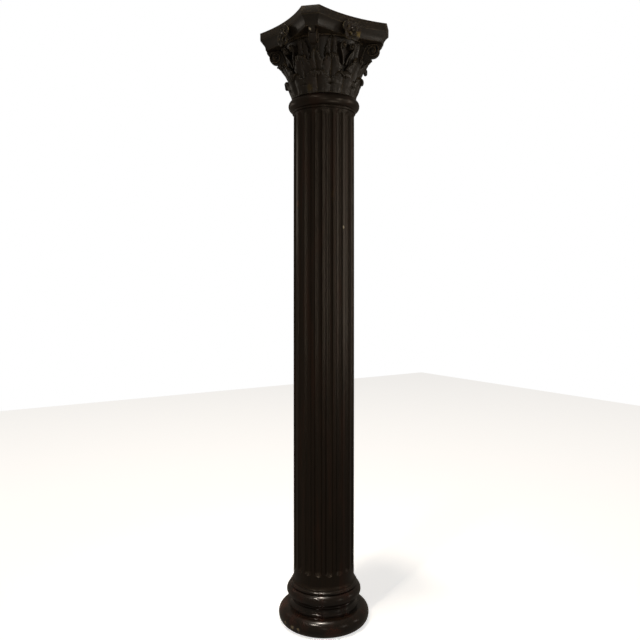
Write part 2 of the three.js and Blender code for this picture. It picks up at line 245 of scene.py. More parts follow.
# Each bare spot: its place, its radius, how far its height is squashed, its colour and how much of it shows
# The base was polished on the lathe and shines most. It has three pale chips and three reddish patches.
turned_wood = stained_wood(
    "polished_turned_mahogany", "#15100c", "#261a12", "#3a1a10", "#5e3d24",
    gloss=0.2, coat=0.32, wear=0.4, dust=0.3,
    bare_spots=[
        ((-184, -45, 30), 9, 1, "#b5a688", 0.85),
        ((-173, -75, 30), 8, 1, "#a8997c", 0.8),
        ((-189, -1, 34), 8, 1, "#8d7d62", 0.8),
        ((-70, -183, 20), 48, 1.5, "#4e2618", 0.6),
        ((-150, 90, 52), 50, 1.4, "#4a2a20", 0.6),
        ((150, 60, 50), 52, 1.4, "#45261c", 0.55),
    ],
)
# The shaft is rubbed and softer in gloss, so only its fillets draw light lines. Four small marks break them.
shaft_wood = stained_wood(
    "polished_staved_mahogany", "#14100d", "#241912", "#35190f", "#4a3020",
    gloss=0.31, coat=0.04, wear=0.35, dust=0.25, sheen="#fff2e2",
    bare_spots=[
        ((-41, -119, 1768), 8, 0.17, "#4f3a22", 0.7),
        ((-41, -119, 1728), 5, 0.5, "#6e5436", 0.7),
        ((11, -126, 1639), 5, 0.7, "#c9bda4", 0.9),
        ((-126, 3, 1735), 6, 0.3, "#5a3b2a", 0.8),
    ],
)
# Carving can't be rubbed to a shine, so it is duller and greyer, with its ribs worn to ochre.
carved_wood = stained_wood(
    "carved_mahogany", "#211e19", "#332b22", "#36251b", "#85745a",
    gloss=0.36, coat=0.08, wear=0.75, dust=0.55,
    bare_spots=[
        ((-177, -165, 2361), 8, 1, "#e8dcc4", 0.95),
        ((-182, -34, 2371), 7, 1, "#a59878", 0.6),
        ((-119, -74, 2176), 15, 0.7, "#5d4f26", 0.6),
        ((-108, -66, 2160), 6, 1, "#8c8068", 0.7),
    ],
)
# The flowers stand out furthest and are worn most.
flower_wood = stained_wood(
    "worn_flower_mahogany", "#1b1610", "#2e2418", "#362216", "#867b5c",
    gloss=0.42, coat=0.05, wear=0.85, dust=0.4,
    bare_spots=[((27, -196, 2372), 13, 1, "#a08b52", 0.75), ((-10, -200, 2368), 8, 1, "#7d6e4c", 0.6)],
)
print("finishes:", ", ".join(m.name for m in (turned_wood, shaft_wood, carved_wood, flower_wood)))

# %% [markdown]
# ## Where edges wear and hollows gather dust
# The finish reads two numbers at each point: how sharply the surface bends outwards and inwards.
# They are measured on the finished mesh from the edges that meet at the point.

# %% Measure the bends and dress a piece
def measure_bends(piece, full_bend):
    # A bend of full_bend per metre counts as a sharp arris or a deep hollow
    mesh = piece.data
    count = len(mesh.vertices)
    places = np.empty(count * 3)
    normals = np.empty(count * 3)
    ends = np.empty(len(mesh.edges) * 2, dtype=int)
    mesh.vertices.foreach_get("co", places)
    mesh.vertices.foreach_get("normal", normals)
    mesh.edges.foreach_get("vertices", ends)
    places, normals = places.reshape(-1, 3), normals.reshape(-1, 3)
    a, b = ends.reshape(-1, 2).T
    step = places[a] - places[b]
    length2 = np.maximum((step ** 2).sum(axis=1), 1e-10)
    bend = np.zeros(count)
    meets = np.zeros(count)
    for here, sign in ((a, 1), (b, -1)):
        np.add.at(bend, here, sign * 2 * (normals[here] * step).sum(axis=1) / length2)
        np.add.at(meets, here, 1)
    bend /= np.maximum(meets, 1)
    around = np.zeros(count)
    np.add.at(around, a, bend[b])
    np.add.at(around, b, bend[a])
    bend = 0.5 * bend + 0.5 * around / np.maximum(meets, 1)
    for name, values in (("arris", bend), ("hollow", -bend)):
        layer = mesh.attributes.new(name, "FLOAT", "POINT")
        layer.data.foreach_set("value", np.clip(values / full_bend, 0, 1).astype(np.float32))


def dress(piece, material, slot, *nodes, full_bend=260):
    piece.data.materials.clear()
    piece.data.materials.append(material)
    measure_bends(piece, full_bend)
    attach(piece, "root")
    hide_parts(*nodes)
    sides = sum(len(face.vertices) - 2 for face in piece.data.polygons)
    print(piece.name, "has", sides, "triangles")


# %% [markdown]
# ## Base: two turned rings
# The foot is one full half-round, and the ring on it has a groove, a smaller roll and a bead.
# Both are turned, so each is a profile swept about the axis.
# A few knocks on the lower edge are pressed into the mesh, because they break the outline.

# %% Turn the foot
# Every turned profile starts at this radius inside the wood, where nobody sees it
core_radius = 60
foot_reach, roll_radius, tread = 190, 34.85, 163
under = np.radians(np.linspace(0, 84, 18))
foot_profile = [(core_radius, 0.0), (150, 0.0)]
foot_profile += zip(tread + (foot_reach - tread) * np.sin(under), roll_radius - roll_radius * np.cos(under))
foot_profile += [*arc((foot_reach - roll_radius, roll_radius), roll_radius, 0, 90, 22)]
foot_profile += [(core_radius, 2 * roll_radius)]
foot_rings = lathe_rings(foot_profile, 288)
# Each knock: its place, its radius and its depth
knocks = [
    ((-183, -52, 26), 13, 2.4), ((-176, -72, 18), 10, 2),
    ((-60, -181, 18), 9, 1.5), ((150, -112, 20), 12, 1.8),
]
for place, radius, depth in knocks:
    away = np.linalg.norm(foot_rings - np.array(place), axis=2) / radius
    press = depth * np.clip(1 - away, 0, 1) ** 0.6
    foot_rings[:, :, :2] *= (1 - press / foot_reach)[:, :, None]
foot = ringed_piece("foot_roll", foot_rings)
dress(foot, turned_wood, "polished_wood", "base_foot_torus")

# %% Turn the collar
collar_profile = [(core_radius, 70.0), (142, 70.0), (142, 77), (140.5, 79.5), (138.6, 81)]
collar_profile += [*arc((149, 95), 14.5, 222, 138, 14), (137, 107)]
collar_profile += [*arc((130.5, 133), 25, -70, 70, 26), *arc((134, 163), 6.6, -75, 80, 14)]
collar_profile += [(134.4, 170.4), (134.2, 175.7), (core_radius, 175.7)]
collar = ringed_piece("collar_mouldings", lathe_rings(collar_profile))
dress(collar, turned_wood, "polished_wood", "base_collar")

# %% [markdown]
# ## Shaft: a turned blank, then fluted
# The maker turns a slim blank with a small flare at the foot, then cuts eighteen flutes in it.
# The script does the same: a mesh of rings is the blank, with its points set close at the flutes' ends,
# and a geometry nodes tree scoops the flutes by rule, so their number, width and depth are inputs.

# %% Turn the blank
# Sizes are in millimetres and turns in degrees. The first flute is turned to fit the photograph.
flutes, flute_width, flute_depth, first_flute = 18, 31, 10, -94
flute_low, flute_high = 228, 2098
shaft_low, shaft_high, widest = 176, 2104.7, 127
taper, taper_start, taper_length = 3, 190, 1915
flare, flare_height = 5.5, 14
half_angle = math.degrees(math.asin(flute_width / 2 / widest))


def shaft_radius(height):
    flared = np.clip((taper_start - height) / flare_height, 0, 1) ** 2 * flare
    return widest + flared - taper * np.clip((height - taper_start) / taper_length, 0, 1) ** 2


# Rings stand close at the flutes' round ends and far apart between them
heights = np.concatenate([
    np.linspace(shaft_low, taper_start, 8), np.linspace(196, flute_low - 3, 4),
    np.linspace(flute_low - 1, flute_low + 17, 25), np.linspace(flute_low + 32, flute_high - 32, 110),
    np.linspace(flute_high - 17, flute_high + 1, 25), [2101, shaft_high],
])
half_flute = [0.25, 0.5, 0.7, 0.85, 0.94, 0.985, 1.02]
in_flute = half_angle * np.array([*(-share for share in reversed(half_flute)), 0, *half_flute])
turns = [first_flute + 360 / flutes * k + np.append(in_flute, 180 / flutes) for k in range(flutes)]
turns = np.radians(np.concatenate(turns))
blank = np.empty((len(heights), len(turns), 3))
blank[:, :, 0] = shaft_radius(heights)[:, None] * np.cos(turns)
blank[:, :, 1] = shaft_radius(heights)[:, None] * np.sin(turns)
blank[:, :, 2] = heights[:, None]
shaft = ringed_piece("fluted_shaft", blank)
print("blank of", len(heights), "rings, flutes", round(half_angle * 2, 1), "degrees wide")

# %% Geometry nodes helpers
def tree_with_inputs(name, sockets):
    tree = bpy.data.node_groups.new(name, "GeometryNodeTree")
    tree.interface.new_socket("Geometry", in_out="INPUT", socket_type="NodeSocketGeometry")
    for label, kind in sockets:
        tree.interface.new_socket(label, in_out="INPUT", socket_type=kind)
    tree.interface.new_socket("Geometry", in_out="OUTPUT", socket_type="NodeSocketGeometry")
    return tree, tree.nodes.new("NodeGroupInput").outputs


def close_tree(tree, geometry, material):
    whole = add(tree, "GeometryNodeRealizeInstances", Geometry=geometry).outputs[0]
    dressed = add(tree, "GeometryNodeSetMaterial", Geometry=whole, Material=material).outputs[0]
    add(tree, "NodeGroupOutput", Geometry=dressed)


def run_tree(piece, tree, crisp=38, **values):
    modifier = piece.modifiers.new("rule", "NODES")
    modifier.node_group = tree
    for socket in tree.interface.items_tree:
        key = socket.name.replace(" ", "_").lower()
        if socket.in_out == "INPUT" and key in values:
            modifier[socket.identifier] = values.pop(key)
    graph = bpy.context.evaluated_depsgraph_get()
    made = bpy.data.meshes.new_from_object(piece.evaluated_get(graph), depsgraph=graph)
    piece.modifiers.remove(modifier)
    smooth_between_arrises(made, crisp)
    piece.data = made
    made.name = piece.name
    print(piece.name, "made by", tree.name, "with", len(made.vertices), "points")


# %% The fluting rule
flute_tree, given = tree_with_inputs("cut_flutes", [
    ("Flutes", "NodeSocketFloat"), ("Half angle", "NodeSocketFloat"), ("Depth", "NodeSocketFloat"),
    ("First turn", "NodeSocketFloat"), ("Low stop", "NodeSocketFloat"), ("High stop", "NodeSocketFloat"),
    ("End reach", "NodeSocketFloat"), ("Wood", "NodeSocketMaterial"),
])
position = add(flute_tree, "GeometryNodeInputPosition").outputs[0]
xyz = add(flute_tree, "ShaderNodeSeparateXYZ", _0=position).outputs

turn = add(flute_tree, "ShaderNodeMath", {"operation": "ARCTAN2"}, _0=xyz[1], _1=xyz[0]).outputs[0]
turn = add(
    flute_tree, "ShaderNodeMath", {"operation": "SUBTRACT"}, _0=turn, _1=given["First turn"],
).outputs[0]
pitch = add(
    flute_tree, "ShaderNodeMath", {"operation": "DIVIDE"}, _0=2 * math.pi, _1=given["Flutes"],
).outputs[0]
nearest = add(flute_tree, "ShaderNodeMath", {"operation": "DIVIDE"}, _0=turn, _1=pitch).outputs[0]
nearest = add(flute_tree, "ShaderNodeMath", {"operation": "ROUND"}, _0=nearest).outputs[0]
middle = add(flute_tree, "ShaderNodeMath", {"operation": "MULTIPLY"}, _0=nearest, _1=pitch).outputs[0]
off_middle = add(flute_tree, "ShaderNodeMath", {"operation": "SUBTRACT"}, _0=turn, _1=middle).outputs[0]

# A flute narrows to a half circle at both stops, so its opening falls from 1 to 0 there
from_low = add(
    flute_tree, "ShaderNodeMath", {"operation": "SUBTRACT"}, _0=xyz[2], _1=given["Low stop"],
).outputs[0]
from_high = add(
    flute_tree, "ShaderNodeMath", {"operation": "SUBTRACT"}, _0=given["High stop"], _1=xyz[2],
).outputs[0]
room = add(flute_tree, "ShaderNodeMath", {"operation": "MINIMUM"}, _0=from_low, _1=from_high).outputs[0]
room = add(flute_tree, "ShaderNodeMapRange", _0=room, _2=given["End reach"]).outputs[0]
easing = add(flute_tree, "ShaderNodeMath", {"operation": "POWER"}, _0=room, _1=0.7).outputs[0]
closing = add(flute_tree, "ShaderNodeMath", {"operation": "SUBTRACT"}, _0=1.0, _1=room).outputs[0]
closing = add(flute_tree, "ShaderNodeMath", {"operation": "MULTIPLY"}, _0=closing, _1=closing).outputs[0]
opening = add(flute_tree, "ShaderNodeMath", {"operation": "SUBTRACT"}, _0=1.0, _1=closing).outputs[0]
opening = add(flute_tree, "ShaderNodeMath", {"operation": "SQRT"}, _0=opening).outputs[0]

# Across a flute the cut is deepest in the middle and steep at the fillets, as a power below 1 makes it
reach = add(
    flute_tree, "ShaderNodeMath", {"operation": "MULTIPLY"}, _0=given["Half angle"], _1=opening,
).outputs[0]
across = add(flute_tree, "ShaderNodeMath", {"operation": "DIVIDE"}, _0=off_middle, _1=reach).outputs[0]
across = add(flute_tree, "ShaderNodeMath", {"operation": "MULTIPLY"}, _0=across, _1=across).outputs[0]
scoop = add(
    flute_tree, "ShaderNodeMath", {"operation": "SUBTRACT", "use_clamp": True}, _0=1.0, _1=across,
).outputs[0]
scoop = add(flute_tree, "ShaderNodeMath", {"operation": "POWER"}, _0=scoop, _1=0.6).outputs[0]
scoop = add(flute_tree, "ShaderNodeMath", {"operation": "MULTIPLY"}, _0=scoop, _1=easing).outputs[0]
cut = add(flute_tree, "ShaderNodeMath", {"operation": "MULTIPLY"}, _0=scoop, _1=given["Depth"]).outputs[0]
inward = add(flute_tree, "ShaderNodeMath", {"operation": "MULTIPLY"}, _0=cut, _1=-1.0).outputs[0]
outward = add(flute_tree, "ShaderNodeCombineXYZ", X=xyz[0], Y=xyz[1]).outputs[0]
outward = add(flute_tree, "ShaderNodeVectorMath", {"operation": "NORMALIZE"}, _0=outward).outputs[0]
offset = add(flute_tree, "ShaderNodeVectorMath", {"operation": "SCALE"}, _0=outward, Scale=inward).outputs[0]
cut_shaft = add(flute_tree, "GeometryNodeSetPosition", Geometry=given["Geometry"], Offset=offset).outputs[0]
close_tree(flute_tree, cut_shaft, given["Wood"])

# %% Cut the flutes
run_tree(
    shaft, flute_tree, crisp=30, flutes=float(flutes), half_angle=math.radians(half_angle),
    depth=flute_depth * MM, first_turn=math.radians(first_flute), low_stop=flute_low * MM,
    high_stop=flute_high * MM, end_reach=flute_width / 2 * MM, wood=shaft_wood,
)
dress(shaft, shaft_wood, "shaft_wood", "shaft")

# %% Turn the ring that caps the flutes
ring_profile = [(core_radius, 2105.0), (129, 2105.0), (129, 2111.5), (130, 2112)]
ring_profile += [*arc((122.15, 2134.85), 22.85, -74, 90, 34), (core_radius, 2157.7)]
astragal = ringed_piece("astragal_ring", lathe_rings(ring_profile))
dress(astragal, shaft_wood, "polished_wood", "astragal")

# %% [markdown]
# ## Capital: the bell and its leaves
# The capital is carved from one block. Under the leaves it is a bell that widens to a lip.
# A leaf is a sheet that climbs the bell, bends outwards and hangs its tip.
# Each half of it swells like a shell, with a dark crease between the halves,
# and its edge and its tip are cut in lobes like fingers.
# One leaf is modelled from curves, then a geometry nodes tree sets eight of them round the bell.

# %% The bell
bell_low, bell_rise, neck_radius, lip_radius = 2167, 205, 123, 162


def bell_radius(height):
    share = np.clip((np.asarray(height) - bell_low) / bell_rise, 0, 1)
    return neck_radius + (lip_radius - neck_radius) * (0.35 * share + 0.65 * share ** 3)


bell_profile = [(core_radius, 2158.0), *arc((124.5, 2162.5), 4.5, -90, 90, 10)]
bell_profile += [(float(bell_radius(h)), h) for h in np.linspace(2168, 2362, 30)]
bell_profile += [(lip_radius, 2364), (lip_radius, 2371.2), (lip_radius - 1, 2371.7), (core_radius, 2371.7)]
bell = ringed_piece("capital_bell", lathe_rings(bell_profile, 144))
dress(bell, carved_wood, "carved_wood", "capital")

# %% Curves through points
def smooth_path(corners, count):
    corners = np.asarray(corners, dtype=float)
    padded = np.vstack([2 * corners[0] - corners[1], corners, 2 * corners[-1] - corners[-2]])
    dense = []
    for k in range(1, len(padded) - 2):
        p0, p1, p2, p3 = padded[k - 1:k + 3]
        slope, bow, twist = p2 - p0, 2 * p0 - 5 * p1 + 4 * p2 - p3, 3 * p1 - p0 - 3 * p2 + p3
        for t in np.linspace(0, 1, 24, endpoint=False):
            dense.append(0.5 * (2 * p1 + slope * t + bow * t * t + twist * t ** 3))
    dense.append(corners[-1])
    dense = np.array(dense)
    length = np.concatenate([[0], np.cumsum(np.linalg.norm(np.diff(dense, axis=0), axis=1))])
    even = np.linspace(0, length[-1], count)
    return np.stack([np.interp(even, length, dense[:, i]) for i in range(dense.shape[1])], axis=1)


# %% A closed sheet and one leaf
def closed_sheet(name, front, back):
    rows, columns = front.shape[:2]
    count = rows * columns
    faces = grid_faces(rows, columns, closed=False)
    faces = [face[::-1] for face in faces] + [[i + count for i in face] for face in faces]
    rim = list(range(columns)) + [r * columns + columns - 1 for r in range(1, rows)]
    rim += [count - 1 - c for c in range(1, columns)] + [r * columns for r in range(rows - 2, 0, -1)]
    faces += [[here, after, after + count, here + count] for here, after in zip(rim, rim[1:] + rim[:1])]
    return new_piece(name, np.vstack([front.reshape(-1, 3), back.reshape(-1, 3)]), faces)


# The spine is a line of (radius, height) points from the leaf's root to its tip.
# s runs along it from 0 to 1 and u across it from -1 to 1, and each carved form is a formula in s and u.
def leaf_piece(name, spine, half_width, widths, swell, lobes, thickness, rows=42, columns=41):
    path = smooth_path(spine, rows)
    along = np.gradient(path, axis=0)
    along /= np.linalg.norm(along, axis=1)[:, None]
    facing = np.stack([along[:, 1], -along[:, 0]], axis=1)
    s = np.linspace(0, 1, rows)[:, None]
    u = np.linspace(-1, 1, columns)[None, :]
    side = np.abs(u)

    # Outline: a notch between lobes, fingers at the tip, and sides that end lower than the middle
    notch = (1 - np.abs(np.sin(np.pi * lobes * s))) ** 2
    width = half_width * np.interp(s, np.linspace(0, 1, len(widths)), widths)
    width = width * (1 - 0.2 * notch * np.clip(s * 3, 0, 1))
    fingers = 1 - np.abs(np.cos(2.5 * np.pi * u))
    reach = s * (1 - 0.1 * fingers * s ** 4 - 0.2 * side ** 2.5 * s ** 2)
    row = reach * (rows - 1)
    low = np.clip(np.floor(row).astype(int), 0, rows - 2)
    part = (row - low)[:, :, None]
    centre = path[low] * (1 - part) + path[low + 1] * part
    normal = facing[low] * (1 - part) + facing[low + 1] * part

    # Relief: two swelling halves, slanting ribs, pipes at the foot, furrows at the tip, a middle crease
    rib_height, pipe_height, furrow_depth, crease_depth, crease_width = 2.2, 2.4, 2.6, 2.4, 0.07
    tip = np.clip((s - 0.62) / 0.38, 0, 1)
    foot = np.clip(1 - s / 0.5, 0, 1)
    vein = s + 0.3 * (1 - side ** 1.5)
    ribs = np.abs(np.sin(np.pi * lobes * vein)) ** 0.7 * np.clip(side * 1.6, 0, 1)
    pipes = np.abs(np.cos(3 * np.pi * u)) ** 0.6
    shell = np.sin(np.pi * np.clip(side * 0.96 + 0.02, 0, 1)) ** 0.75
    crease = np.exp(-((side / crease_width) ** 2)) * (1 - tip)
    raise_by = swell * shell * (1 - 0.6 * tip)
    raise_by = raise_by + rib_height * (ribs - 0.5) * (1 - foot) + pipe_height * (pipes - 0.5) * foot
    raise_by = raise_by - furrow_depth * fingers * tip ** 1.5 - crease_depth * crease

    def placed(lift):
        flat = centre + normal * lift[:, :, None]
        wide = width * u / np.maximum(path[:, :1], 1)
        return np.stack([flat[:, :, 0] * np.cos(wide), flat[:, :, 0] * np.sin(wide), flat[:, :, 1]], axis=2)

    # The sheet thins towards its rim and is thickest at the tip
    edge = 1 - np.maximum(side ** 8, s ** 30)
    front = placed(raise_by + 0.5 * thickness * edge)
    back = placed(0.55 * raise_by - thickness * (0.25 + 0.75 * edge) * (1 + 0.8 * tip))
    return closed_sheet(name, front, back)


# %% The rule that sets copies round the axis
copy_tree, given = tree_with_inputs("ring_of_copies", [
    ("Copies", "NodeSocketInt"), ("First turn", "NodeSocketFloat"), ("Uneven", "NodeSocketFloat"),
    ("Seed", "NodeSocketInt"), ("Wood", "NodeSocketMaterial"),
])
points = add(copy_tree, "GeometryNodePoints", Count=given["Copies"]).outputs[0]
index = add(copy_tree, "GeometryNodeInputIndex").outputs[0]
pitch = add(
    copy_tree, "ShaderNodeMath", {"operation": "DIVIDE"}, _0=2 * math.pi, _1=given["Copies"],
).outputs[0]
turn = add(
    copy_tree, "ShaderNodeMath", {"operation": "MULTIPLY_ADD"}, _0=index, _1=pitch, _2=given["First turn"],
).outputs[0]
least = add(copy_tree, "ShaderNodeMath", {"operation": "MULTIPLY"}, _0=given["Uneven"], _1=-1.0).outputs[0]
wobble = add(
    copy_tree, "FunctionNodeRandomValue", {"data_type": "FLOAT"},
    _2=least, _3=given["Uneven"], ID=index, Seed=given["Seed"],
).outputs[1]
turn = add(copy_tree, "ShaderNodeMath", {"operation": "ADD"}, _0=turn, _1=wobble).outputs[0]
rotation = add(copy_tree, "ShaderNodeCombineXYZ", Z=turn).outputs[0]
copies = add(
    copy_tree, "GeometryNodeInstanceOnPoints", Points=points, Instance=given["Geometry"], Rotation=rotation,
).outputs[0]
close_tree(copy_tree, copies, given["Wood"])

# %% Rows of eight leaves
# Each row: its name, the turn of its first leaf, the seed of its unevenness and the sizes of one leaf
for name, first_turn, seed, sizes in [
    ("lower_leaves", 0.0, 4, dict(
        spine=[
            (121, 2162), (125, 2178), (131, 2192), (137, 2206), (142, 2219), (146, 2229),
            (150, 2234), (154.5, 2233), (156, 2226), (155, 2218), (152, 2212),
        ],
        half_width=58, widths=[0.84, 0.92, 1.0, 0.97, 0.86, 0.66, 0.5], swell=7, lobes=3, thickness=5,
    )),
    ("upper_leaves", 22.5, 9, dict(
        spine=[
            (121, 2172), (126, 2195), (132, 2220), (140, 2245), (149, 2266), (158, 2281),
            (165, 2290), (171, 2292), (175, 2287), (175.5, 2279), (172, 2272),
        ],
        half_width=52, widths=[0.8, 0.9, 0.98, 1.0, 0.86, 0.66, 0.48], swell=6.5, lobes=4, thickness=5,
    )),
    ("bell_leaves", 22.5, 2, dict(
        spine=[
            (131, 2262), (139, 2290), (146, 2318), (153, 2340),
            (160, 2355), (166, 2360), (170, 2357), (171, 2350),
        ],
        half_width=30, widths=[0.8, 0.9, 1.0, 1.0, 0.9, 0.75, 0.5], swell=5, lobes=4, thickness=4,
        rows=26, columns=21,
    )),
]:
    leaves = leaf_piece(name, **sizes)
    run_tree(
        leaves, copy_tree, copies=8, first_turn=math.radians(first_turn), uneven=0.008, seed=seed,
        wood=carved_wood,
    )
    dress(leaves, carved_wood, "carved_wood", "capital", full_bend=130)

# %% [markdown]
# ## Scrolls
# A scroll is a band that rises from between the leaves and winds up into an eye.
# The corner scrolls stand on the diagonals and carry the corners of the board.
# Two smaller ones climb each face and curl towards each other under the flower.
# Both are a section drawn along a spiral, with the wood left between its turns.

# %% Sweep a band along a path
def swept_band(path, halves, thicks, sides=18, hollow=0.45):
    along = np.gradient(path, axis=0)
    along /= np.linalg.norm(along, axis=1)[:, None]
    normal = np.stack([-along[:, 1], along[:, 0]], axis=1)
    # The section is a rounded oblong, hollowed on its outer side
    turn = np.linspace(0, 2 * np.pi, sides, endpoint=False)
    wide = np.sign(np.cos(turn)) * np.abs(np.cos(turn)) ** 0.6
    high = np.sign(np.sin(turn)) * np.abs(np.sin(turn)) ** 0.6
    high = np.where(high > 0, high * (1 - hollow * (1 - wide ** 2)), high)
    rings = np.empty((len(path), sides, 3))
    for k in range(len(path)):
        flat = path[k] + normal[k] * (high * thicks[k])[:, None]
        rings[k] = np.stack([flat[:, 0], wide * halves[k], flat[:, 1]], axis=1)
    return rings


def spiral(eye, radius, start, turns, shrink, steps):
    share = np.linspace(0, 1, steps)
    angle = np.radians(start - 360 * turns * share)
    reach = radius * (1 - shrink * share)
    return np.stack([eye[0] + reach * np.cos(angle), eye[1] + reach * np.sin(angle)], axis=1)


def joined_piece(name, pieces):
    points, faces = [], []
    for piece in pieces:
        base = len(points)
        points += [tuple(v.co / MM) for v in piece.data.vertices]
        faces += [[i + base for i in face.vertices] for face in piece.data.polygons]
        bpy.data.objects.remove(piece)
    return new_piece(name, points, faces)


# %% Corner scrolls
eye_out, eye_up = 200, 2345.6
scroll_ceiling, block_top = 2367.4, 2371.5
scroll_path = np.vstack([
    smooth_path([(138, 2256), (146, 2286), (157, 2318), (167, 2344), (175, 2360)], 36)[:-1],
    spiral((eye_out, eye_up), 29, 150, 1.72, 0.72, 80),
])
scroll_path[:, 1] = np.minimum(scroll_path[:, 1], scroll_ceiling)
share = np.linspace(0, 1, len(scroll_path))
band_halves = np.interp(share, [0, 0.25, 0.4, 0.7, 1], [8, 14, 17, 15, 12])
band_thicks = np.interp(share, [0, 0.3, 0.6, 1], [4, 4.2, 3.8, 2.6])
band = ringed_piece("band", swept_band(scroll_path, band_halves, band_thicks))

disc = arc((0, 0), 1, 0, 360, 40)[:-1]


def stacked_discs(name, levels):
    rings = []
    for radius, level in reversed(levels):
        rings.append([(eye_out + x * radius, level, min(eye_up + y * radius, block_top)) for x, y in disc])
    return ringed_piece(name, rings)


web = stacked_discs("web", [(28, -9), (28, 9)])
eye = stacked_discs("eye", [(3, -17), (7, -15.5), (9, -12), (9, 12), (7, 15.5), (3, 17)])
# The brace is the wood left standing between the bell and the scroll, up to the board
brace_outline = [
    (122, 2232), (138, 2242), (148, 2262), (162, 2282), (176, 2298), (192, 2310),
    (214, 2361), (229, 2352), (236, 2360), (239, 2369), (239, block_top), (122, block_top),
]
brace = ringed_piece("brace", [[(x, level, z) for x, z in brace_outline] for level in (11, -11)])
scrolls = joined_piece("corner_scrolls", [band, web, eye, brace])
run_tree(scrolls, copy_tree, copies=4, first_turn=math.radians(45), uneven=0.0, seed=0, wood=carved_wood)
dress(scrolls, carved_wood, "carved_wood", "capital")

# %% Leaves that sheathe the corner scrolls
sheath = leaf_piece(
    "scroll_sheaths",
    spine=[
        (134, 2226), (142, 2246), (151, 2264), (163, 2281),
        (175, 2295), (185, 2304), (192, 2307), (196, 2303),
    ],
    half_width=30, widths=[0.6, 0.9, 1.0, 0.95, 0.8, 0.6, 0.43], swell=5, lobes=3, thickness=5,
    rows=30, columns=25,
)
run_tree(sheath, copy_tree, copies=4, first_turn=math.radians(45), uneven=0.0, seed=0, wood=carved_wood)
dress(sheath, carved_wood, "carved_wood", "capital", full_bend=130)

# %% Small scrolls on the faces
curl_side, curl_up = 20, 2332
face_out, half_band, lean = 172, 13, 0.4
small_path = np.vstack([
    smooth_path([(6, 2268), (13, 2292), (25, 2312), (33, 2323)], 26)[:-1],
    spiral((curl_side, curl_up), 13.5, -34, -1.5, 0.7, 54),
])
small_share = np.linspace(0, 1, len(small_path))
small_thicks = np.interp(small_share, [0, 0.4, 1], [4, 3, 2])
small = swept_band(small_path, np.full(len(small_path), half_band), small_thicks, sides=14, hollow=0.0)
outward_now = face_out + lean * (small[:, :, 2] - curl_up) - half_band + small[:, :, 1]
right_scroll = np.stack([outward_now, small[:, :, 0], small[:, :, 2]], axis=2)
button = []
for radius, out in [(5.5, -26), (5.5, 0), (4, 4), (1.5, 5)]:
    button.append([(face_out + out, curl_side + x * radius, curl_up + y * radius) for x, y in disc])
button = np.array(button)
mirror = np.array([1, -1, 1])
face_scrolls = joined_piece("face_scrolls", [
    ringed_piece("right", right_scroll), ringed_piece("left", (right_scroll * mirror)[:, ::-1]),
    ringed_piece("right_eye", button), ringed_piece("left_eye", (button * mirror)[:, ::-1]),
])
run_tree(face_scrolls, copy_tree, copies=4, first_turn=0.0, uneven=0.0, seed=0, wood=carved_wood)
dress(face_scrolls, carved_wood, "carved_wood", "capital")

# %% [markdown]
# ## Moulded board
# The board on top has four hollow sides between cut-off corners.
# Below it is a cove, above it a flat fillet with slightly rounded edges.
# The outline is the same at each height, drawn in by the cove.

# %% The board
board_reach, half_corner, side_out = 260, 34, 186


def turned(x, y, angle):
    return x * math.cos(angle) - y * math.sin(angle), x * math.sin(angle) + y * math.cos(angle)


def board_ring(height, inset):
    reach, half = board_reach - inset, half_corner - inset * 0.5
    half_chord, distance = (reach - half) * math.sqrt(0.5), (reach + half) * math.sqrt(0.5)
    middle = side_out - inset * 0.8
    sagitta = distance - middle
    bend = (half_chord ** 2 + sagitta ** 2) / (2 * sagitta)
    spread = math.asin(half_chord / bend)
    ring = []
    for side in range(4):
        for swing in np.linspace(-spread, spread, 41):
            along, out = bend * math.sin(swing), middle + bend * (1 - math.cos(swing))
            ring.append((*turned(along, -out, side * math.pi / 2), height))
        x, y, _ = ring[-1]
        next_x, next_y = turned(-half_chord, -distance, (side + 1) * math.pi / 2)
        for t in (0.2, 0.4, 0.6, 0.8):
            ring.append((x + (next_x - x) * t, y + (next_y - y) * t, height))
    return ring


# Each level: a height, and how far the outline is drawn in there
cove_foot, cove_height, cove_depth = 2373, 36, 20
levels = [(2372, 21), (cove_foot, cove_depth)]
levels += [(cove_foot + cove_height * t, cove_depth * (1 - t ** 2)) for t in np.linspace(0.08, 1, 14)]
levels += [(2409.8, 1.4), (2411.2, 1.2), (2412, 0), (2438.4, 0), (2439.5, 0.5), (2440, 1.6), (2440, 5)]
board = ringed_piece("moulded_board", [board_ring(*level) for level in levels])
dress(board, carved_wood, "carved_wood", "abacus")

# %% [markdown]
# ## Flowers
# A carved flower hides the middle of each hollow side.
# Five broad petals lie under five small ones round a button.
# One petal of each ring is modelled, and the rule that set the leaves sets the petals too.

# %% One petal and the button
def petal_piece(name, inner, outer, half_width, foot, rise, droop, thickness):
    rows, columns = 18, 17
    s = np.linspace(0, 1, rows)[:, None]
    u = np.linspace(-1, 1, columns)[None, :]
    # A petal is widest past its middle, bows over at the end, lifts its sides and has a groove along it
    reach = inner + (outer - inner) * s * (1 - 0.12 * (1 - np.abs(np.cos(np.pi * u * 0.5)) ** 0.5) * s)
    width = half_width * (0.3 + 0.7 * np.sin(np.pi * np.clip(0.12 + 0.68 * s, 0, 1))) * u
    raised_sides, groove = 2.2 * np.abs(u) ** 1.3, 1.5 * np.exp(-((u / 0.14) ** 2))
    lift = foot + rise * np.sin(np.pi * 0.62 * s) - droop * s ** 4 + raised_sides - groove
    front = np.stack([reach, width, lift], axis=2)
    return closed_sheet(name, front, front - np.array([0, 0, thickness]))


flower_parts = []
